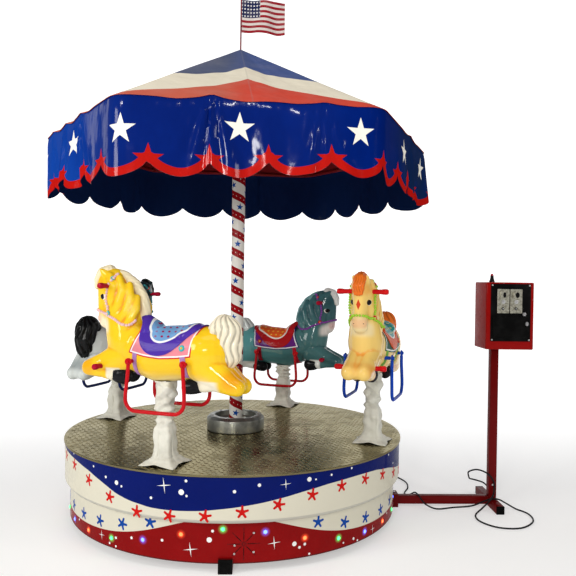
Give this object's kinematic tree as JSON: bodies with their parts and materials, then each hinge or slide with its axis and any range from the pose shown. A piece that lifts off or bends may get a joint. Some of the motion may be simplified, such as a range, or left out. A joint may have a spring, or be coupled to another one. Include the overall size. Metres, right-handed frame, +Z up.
{
  "type": "coin-operated children's carousel",
  "caption": "Small fairground carousel: horses on lifting posts round a striped pole under a tented canopy, on a round drum, with a coin box on a floor stand.",
  "frame": {"origin": "on the floor, on the axis that the platform turns about", "axes": "+Z up; +X along the outrigger arm to the coin stand; -Y towards the loudspeaker side of the drum, from which it was pictured"},
  "size_m": [2.5564, 1.9422, 2.735],
  "materials": {
    "stand_steel": "dark red enamel, semi-gloss",
    "black_plastic": "moulded plug",
    "skirt_paint": "painted and lacquered sheet",
    "box_paint": "bright red enamel, gloss",
    "panel_black": "black panel, satin",
    "plate_metal": "cast and brushed",
    "lamp_plastic": "dark red lens on a black foot",
    "cable_rubber": "black rubber sheath",
    "tread_plate": "raised tread pattern, mill finish",
    "collar_metal": "machined grey metal",
    "pole_paint": "cream lacquer with red bands and stars",
    "canopy_steel": "red enamel",
    "canopy_vinyl": "glossy coated fabric",
    "flag_cloth": "printed cloth",
    "post_steel": "bright tube",
    "crimson_grip": "crimson grip tube",
    "boot_vinyl": "white coated fabric",
    "cream_coat": "lacquered glass fibre",
    "teal_coat": "lacquered glass fibre",
    "grey_coat": "lacquered glass fibre",
    "yellow_coat": "lacquered glass fibre",
    "cream_stirrup": "blue enamel",
    "teal_stirrup": "red enamel",
    "grey_stirrup": "navy enamel",
    "yellow_stirrup": "red enamel"
  },
  "bodies": {
    "base": {"base_frame": "stand_steel", "bearing_pedestal": "stand_steel", "outrigger_arm": "stand_steel", "stand_foot_bar": "stand_steel", "stand_post": "stand_steel", "end_cap_front": "black_plastic", "end_cap_back": "black_plastic", "end_cap_left": "black_plastic", "foot_cap_front": "black_plastic", "foot_cap_back": "black_plastic", "base_skirt": "skirt_paint", "coin_box": "box_paint", "front_panel": "panel_black", "coin_plate_left": "plate_metal", "coin_plate_right": "plate_metal", "panel_lock": "plate_metal", "signal_lamp": "lamp_plastic", "cable": "cable_rubber", "cable_gland_base": "cable_rubber", "cable_gland_post": "cable_rubber"},
    "turntable": {"platform": "tread_plate", "platform_skirt": "skirt_paint", "hub_collar": "collar_metal", "centre_pole": "pole_paint", "canopy_frame": "canopy_steel", "canopy_roof": "canopy_vinyl", "canopy_valance": "canopy_vinyl", "flag_pole": "canopy_steel", "flag": "flag_cloth", "cream_horse_boot": "boot_vinyl", "teal_horse_boot": "boot_vinyl", "grey_horse_boot": "boot_vinyl", "yellow_horse_boot": "boot_vinyl"},
    "cream_horse": {"cream_horse_body": "cream_coat", "cream_horse_post": "post_steel", "cream_horse_handle_bar": "crimson_grip", "cream_horse_knee_bar": "crimson_grip", "cream_horse_stirrup_left": "cream_stirrup", "cream_horse_stirrup_right": "cream_stirrup"},
    "teal_horse": {"teal_horse_body": "teal_coat", "teal_horse_post": "post_steel", "teal_horse_handle_bar": "crimson_grip", "teal_horse_knee_bar": "crimson_grip", "teal_horse_stirrup_left": "teal_stirrup", "teal_horse_stirrup_right": "teal_stirrup"},
    "grey_horse": {"grey_horse_body": "grey_coat", "grey_horse_post": "post_steel", "grey_horse_handle_bar": "crimson_grip", "grey_horse_knee_bar": "crimson_grip", "grey_horse_stirrup_left": "grey_stirrup", "grey_horse_stirrup_right": "grey_stirrup"},
    "yellow_horse": {"yellow_horse_body": "yellow_coat", "yellow_horse_post": "post_steel", "yellow_horse_handle_bar": "crimson_grip", "yellow_horse_knee_bar": "crimson_grip", "yellow_horse_stirrup_left": "yellow_stirrup", "yellow_horse_stirrup_right": "yellow_stirrup"},
    "cash_door": {"cash_door": "panel_black", "cash_door_lock": "plate_metal"}
  },
  "joints": [
    {"name": "turntable_spin", "type": "hinge", "parent": "base", "child": "turntable", "pos_m": [0, 0, 0.3], "axis": [0, 0, -1], "continuous": true},
    {"name": "cream_horse_lift", "type": "slide", "parent": "turntable", "child": "cream_horse", "axis": [0, 0, 1], "range_m": [-0.088, 0.012], "deforming": ["cream_horse_boot"]},
    {"name": "teal_horse_lift", "type": "slide", "parent": "turntable", "child": "teal_horse", "axis": [0, 0, 1], "range_m": [0, 0.1], "deforming": ["teal_horse_boot"]},
    {"name": "grey_horse_lift", "type": "slide", "parent": "turntable", "child": "grey_horse", "axis": [0, 0, 1], "range_m": [-0.042, 0.058], "deforming": ["grey_horse_boot"]},
    {"name": "yellow_horse_lift", "type": "slide", "parent": "turntable", "child": "yellow_horse", "axis": [0, 0, 1], "range_m": [-0.1, 0], "deforming": ["yellow_horse_boot"]},
    {"name": "cash_door_hinge", "type": "hinge", "parent": "base", "child": "cash_door", "pos_m": [1.35, -0.1271, 0.964], "axis": [0, 0, -1], "range_deg": [0, 105]}
  ]
}
